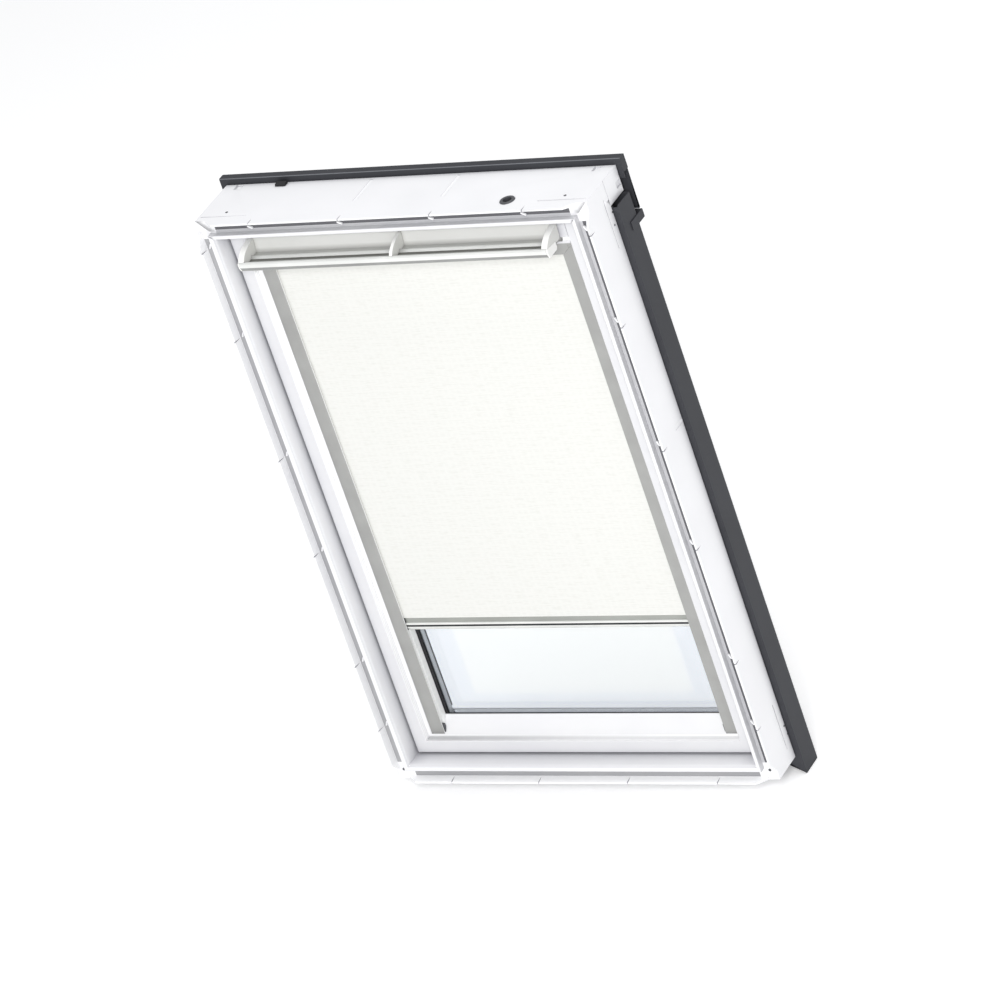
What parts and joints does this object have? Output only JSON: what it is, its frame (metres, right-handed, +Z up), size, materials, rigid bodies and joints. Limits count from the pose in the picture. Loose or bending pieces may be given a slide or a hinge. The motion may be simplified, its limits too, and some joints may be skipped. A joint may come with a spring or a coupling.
{
  "type": "skylight window blind",
  "caption": "Centre-pivot roof window with a roller blind in its sash, a ventilation flap worked by a control bar, and dark outer cladding.",
  "frame": {"origin": "middle of the frame's lower outer face", "axes": "+X across the window, +Y from the room outwards, +Z up the slope of the roof"},
  "size_m": [0.8076, 0.1745, 1.227],
  "materials": {
    "white_coating": "moulded polyurethane, satin white",
    "flap_white": "satin warm white",
    "dark_cladding": "satin dark grey",
    "rail_aluminium": "anodised",
    "silver_aluminium": "bright anodised",
    "black_rubber": "matt",
    "glass": "clear",
    "cloth": "coated polyester, fine slub",
    "grey_plastic": "matt",
    "steel": "zinc plated"
  },
  "bodies": {
    "frame": {"frame_head": "white_coating", "frame_sill": "white_coating", "frame_jamb_left": "white_coating", "frame_jamb_right": "white_coating", "striker_plate": "steel", "cable_grommet": "grey_plastic", "hood_clip": "black_rubber", "frame_seal": "black_rubber", "side_cover_left": "dark_cladding", "side_cover_right": "dark_cladding", "hood": "dark_cladding", "cover_bracket_left": "dark_cladding", "cover_bracket_right": "dark_cladding", "sill_cover": "dark_cladding", "hinge_plate_left": "steel", "hinge_plate_right": "steel"},
    "sash": {"sash_stile_left": "white_coating", "sash_stile_right": "white_coating", "sash_bottom_rail": "white_coating", "sash_top_rail": "white_coating", "glazing_gasket": "black_rubber", "glass_inner": "glass", "glass_spacer": "steel", "glass_outer": "glass", "sash_cladding_left": "dark_cladding", "sash_cladding_right": "dark_cladding", "sash_cladding_bottom": "dark_cladding", "sash_cladding_top": "dark_cladding", "pivot_pin_left": "steel", "pivot_pin_right": "steel", "latch_case": "steel", "vent_filter": "grey_plastic", "blind_rail_left": "rail_aluminium", "blind_rail_right": "rail_aluminium", "blind_cassette": "rail_aluminium", "cassette_end_left": "grey_plastic", "cassette_end_right": "grey_plastic", "rail_stop_left": "grey_plastic", "rail_stop_right": "grey_plastic", "blind_cloth": "cloth"},
    "flap": {"vent_flap": "flap_white", "control_bar": "silver_aluminium", "bar_end_cap_left": "flap_white", "bar_end_cap_right": "flap_white", "bar_arm_left": "flap_white", "bar_arm_middle": "flap_white", "bar_arm_right": "flap_white"},
    "latch": {"latch_tongue": "steel"},
    "blind_bar": {"bottom_bar": "silver_aluminium", "bar_glide_left": "grey_plastic", "bar_glide_right": "grey_plastic"},
    "roller": {"roller_tube": "rail_aluminium", "wound_cloth": "cloth", "roller_plug_left": "grey_plastic", "roller_plug_right": "grey_plastic", "spring_motor": "steel"}
  },
  "joints": [
    {"name": "sash_pivot", "type": "hinge", "parent": "frame", "child": "sash", "pos_m": [0, 0.037, 0.589], "axis": [1, 0, 0], "range_deg": [0, 160]},
    {"name": "flap_hinge", "type": "hinge", "parent": "sash", "child": "flap", "pos_m": [0, -0.0045, 1.097], "axis": [1, 0, 0], "range_deg": [0, 35]},
    {"name": "latch_slide", "type": "slide", "parent": "sash", "child": "latch", "axis": [0, 0, -1], "range_m": [0, 0.008]},
    {"name": "blind_travel", "type": "slide", "parent": "sash", "child": "blind_bar", "axis": [0, 0, 1], "range_m": [-0.205, 0.732], "deforming": ["blind_cloth"]},
    {"name": "roller_turn", "type": "hinge", "parent": "sash", "child": "roller", "pos_m": [0, 0.023, 1.0722], "axis": [1, 0, 0], "range_deg": [-5700, 1700]}
  ],
  "couplings": [
    {"joint": "latch_slide", "follows": "flap_hinge", "m_per_rad": 0.013},
    {"joint": "roller_turn", "follows": "blind_travel", "rad_per_m": -133}
  ]
}
